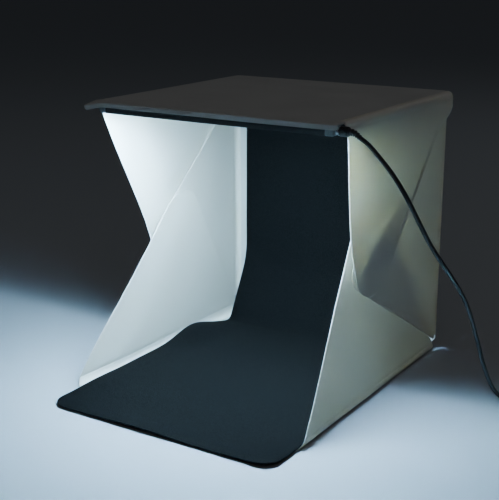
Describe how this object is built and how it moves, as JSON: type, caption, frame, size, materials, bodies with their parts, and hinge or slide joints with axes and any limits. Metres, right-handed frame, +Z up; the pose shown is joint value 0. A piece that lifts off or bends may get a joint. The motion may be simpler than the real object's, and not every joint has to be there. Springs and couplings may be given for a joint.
{
  "type": "folding photo light box",
  "caption": "Tabletop photo light box of folding sheet plastic with lean-in side flaps, an LED bar under the top's front edge, a draped backdrop and a power lead.",
  "frame": {"origin": "on the table, under the middle of the box that holds the light box without its lead", "axes": "+X to the right as seen from the open front, +Y from the open front to the back panel, +Z up"},
  "size_m": [0.3666, 0.287, 0.24],
  "materials": {
    "panel_sheet": "fine matt, slightly translucent",
    "flap_sheet": "fine matt, translucent",
    "hook_tape": "hook and loop pile",
    "bar_cap": "satin",
    "bar_channel": "satin",
    "circuit_board": "solder mask",
    "frosted_cover": "frosted, lit from behind",
    "led_lamp": "clear resin, lit",
    "bright_metal": "plated",
    "black_moulding": "fine matt",
    "lead_jacket": "satin",
    "backdrop_felt": "matt felt"
  },
  "bodies": {
    "base": {"base_panel": "panel_sheet", "backdrop": "backdrop_felt"},
    "back": {"back_panel": "panel_sheet", "hang_strip_hook": "hook_tape", "hang_strip_loop": "hook_tape", "lead_tube": "lead_jacket", "lead_coil": "lead_jacket", "usb_plug_body": "black_moulding", "usb_plug_shell": "bright_metal"},
    "lid": {"top_panel": "panel_sheet", "led_channel": "bar_channel", "led_board": "circuit_board", "led_cover": "frosted_cover", "led_end_cap_left": "bar_cap", "led_end_cap_right": "bar_cap", "power_socket": "bright_metal", "lead_plug": "black_moulding", "strain_relief": "black_moulding", "led_chip_01": "led_lamp", "led_chip_02": "led_lamp", "led_chip_03": "led_lamp", "led_chip_04": "led_lamp", "led_chip_05": "led_lamp", "led_chip_06": "led_lamp", "led_chip_07": "led_lamp", "led_chip_08": "led_lamp", "led_chip_09": "led_lamp", "led_chip_10": "led_lamp", "led_chip_11": "led_lamp", "led_chip_12": "led_lamp", "led_chip_13": "led_lamp", "led_chip_14": "led_lamp", "led_chip_15": "led_lamp", "led_chip_16": "led_lamp", "led_chip_17": "led_lamp", "led_chip_18": "led_lamp", "led_chip_19": "led_lamp", "led_chip_20": "led_lamp"},
    "upper_flap_left": {"upper_flap_left": "flap_sheet", "fastener_loop_left": "hook_tape"},
    "rear_flap_left": {"rear_flap_left": "flap_sheet", "fastener_hook_left": "hook_tape"},
    "lower_flap_left": {"lower_flap_left": "flap_sheet"},
    "upper_flap_right": {"upper_flap_right": "flap_sheet", "fastener_loop_right": "hook_tape"},
    "rear_flap_right": {"rear_flap_right": "flap_sheet", "fastener_hook_right": "hook_tape"},
    "lower_flap_right": {"lower_flap_right": "flap_sheet"}
  },
  "joints": [
    {"name": "back_fold", "type": "hinge", "parent": "base", "child": "back", "pos_m": [0, 0.1435, 0.001], "axis": [1, 0, 0], "range_deg": [-90, 0], "deforming": ["backdrop", "lead_tube"]},
    {"name": "lid_fold", "type": "hinge", "parent": "back", "child": "lid", "pos_m": [0, 0.1435, 0.239], "axis": [1, 0, 0], "range_deg": [-90, 0]},
    {"name": "upper_flap_left_swing", "type": "hinge", "parent": "lid", "child": "upper_flap_left", "pos_m": [-0.1144, 0.035, 0.2387], "axis": [0, 1, 0], "range_deg": [0, 90]},
    {"name": "rear_flap_left_swing", "type": "hinge", "parent": "back", "child": "rear_flap_left", "pos_m": [-0.1106, 0.1422, 0.12], "axis": [0, 0, -1], "range_deg": [0, 67.5]},
    {"name": "lower_flap_left_swing", "type": "hinge", "parent": "base", "child": "lower_flap_left", "pos_m": [-0.1094, 0.02, 0.0013], "axis": [0, -1, 0], "range_deg": [0, 36]},
    {"name": "upper_flap_right_swing", "type": "hinge", "parent": "lid", "child": "upper_flap_right", "pos_m": [0.1144, 0.035, 0.2387], "axis": [0, -1, 0], "range_deg": [0, 90]},
    {"name": "rear_flap_right_swing", "type": "hinge", "parent": "back", "child": "rear_flap_right", "pos_m": [0.1106, 0.1422, 0.12], "axis": [0, 0, 1], "range_deg": [0, 67.5]},
    {"name": "lower_flap_right_swing", "type": "hinge", "parent": "base", "child": "lower_flap_right", "pos_m": [0.1094, 0.02, 0.0013], "axis": [0, 1, 0], "range_deg": [0, 36]}
  ],
  "couplings": [
    {"joint": "rear_flap_left_swing", "follows": "upper_flap_left_swing", "ratio": 0.75},
    {"joint": "rear_flap_right_swing", "follows": "upper_flap_right_swing", "ratio": 0.75},
    {"joint": "lower_flap_left_swing", "follows": "upper_flap_left_swing", "ratio": 0.4},
    {"joint": "lower_flap_right_swing", "follows": "upper_flap_right_swing", "ratio": 0.4}
  ]
}
